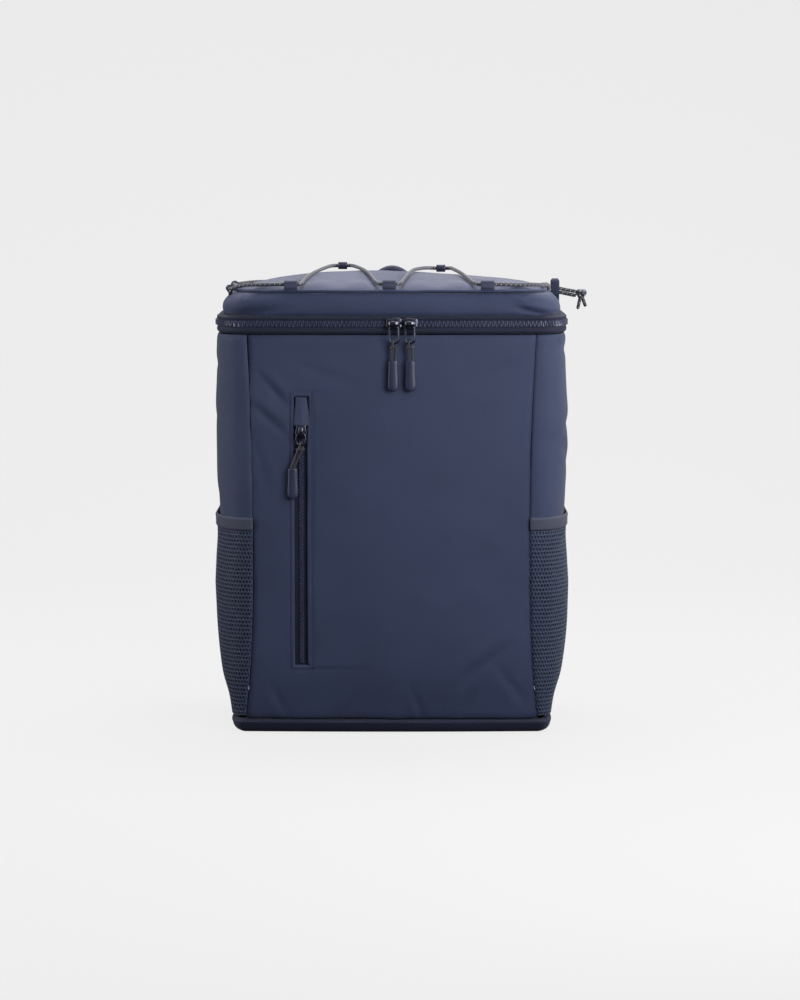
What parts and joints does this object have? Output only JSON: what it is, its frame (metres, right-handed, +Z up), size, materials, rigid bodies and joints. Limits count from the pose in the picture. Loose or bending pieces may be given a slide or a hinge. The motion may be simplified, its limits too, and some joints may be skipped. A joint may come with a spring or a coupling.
{
  "type": "cooler backpack",
  "caption": "Upright soft-sided cooler backpack with a zipped crowned lid, cord lacing on the lid, a zipped front pocket, mesh side pockets, shoulder straps and a grab handle.",
  "frame": {"origin": "middle of the base's flat underside, on the surface that the backpack stands on", "axes": "+Z up, -Y to the front with the pocket zip, +X to the wearer's right as seen from the front"},
  "size_m": [0.3302, 0.2457, 0.4037],
  "materials": {
    "shell_cloth": "woven polyester, matt",
    "base_cloth": "woven polyester with a coated face, matt",
    "lid_cloth": "woven polyester, matt",
    "tape_cloth": "zip tape, matt",
    "mesh_net": "stretch mesh, matt",
    "elastic_binding": "knitted elastic binding, matt",
    "webbing": "woven webbing, matt",
    "cord_braid": "braided elastic cord, grey with flecks",
    "chain_plastic": "moulded zip chain, semi-matt",
    "pull_rubber": "soft, satin",
    "buckle_plastic": "moulded, semi-matt",
    "slider_metal": "dark plated, polished",
    "ring_metal": "plated, polished"
  },
  "bodies": {
    "root": {"front_panel": "shell_cloth", "gusset_left": "shell_cloth", "gusset_right": "shell_cloth", "back_panel": "shell_cloth", "lid_hinge": "shell_cloth", "lid_fascia": "shell_cloth", "pocket_welt": "shell_cloth", "shoulder_strap_left": "shell_cloth", "shoulder_strap_right": "shell_cloth", "base_panel": "base_cloth", "lid_top": "lid_cloth", "zip_tape_lower": "tape_cloth", "zip_tape_upper": "tape_cloth", "pocket_zip_tape": "tape_cloth", "zip_garage": "tape_cloth", "mesh_pocket_left": "mesh_net", "mesh_pocket_right": "mesh_net", "pocket_binding_left": "elastic_binding", "pocket_binding_right": "elastic_binding", "lid_piping": "webbing", "strap_webbing_left": "webbing", "strap_webbing_right": "webbing", "strap_anchor_left": "webbing", "strap_anchor_right": "webbing", "grab_handle": "webbing", "cord_tab_front_left": "webbing", "cord_tab_front_middle": "webbing", "cord_tab_front_right": "webbing", "cord_tab_corner_left": "webbing", "cord_tab_top_left": "webbing", "cord_tab_top_right": "webbing", "cord_tab_back_left": "webbing", "cord_tab_back_right": "webbing", "cord_tab_side_right": "webbing", "bungee_cord": "cord_braid", "bungee_knot": "cord_braid", "lid_pull_cord_left": "cord_braid", "lid_pull_cord_right": "cord_braid", "pocket_pull_cord": "cord_braid", "lid_zip_chain": "chain_plastic", "pocket_zip_chain": "chain_plastic", "lid_pull_end_left": "pull_rubber", "lid_pull_end_right": "pull_rubber", "pocket_pull_end": "pull_rubber", "ladder_buckle_left": "buckle_plastic", "ladder_buckle_right": "buckle_plastic", "lid_slider_left": "slider_metal", "lid_slider_right": "slider_metal", "pocket_slider": "slider_metal", "lid_pull_ring_left": "ring_metal", "lid_pull_ring_right": "ring_metal", "pocket_pull_ring": "ring_metal"}
  },
  "joints": []
}
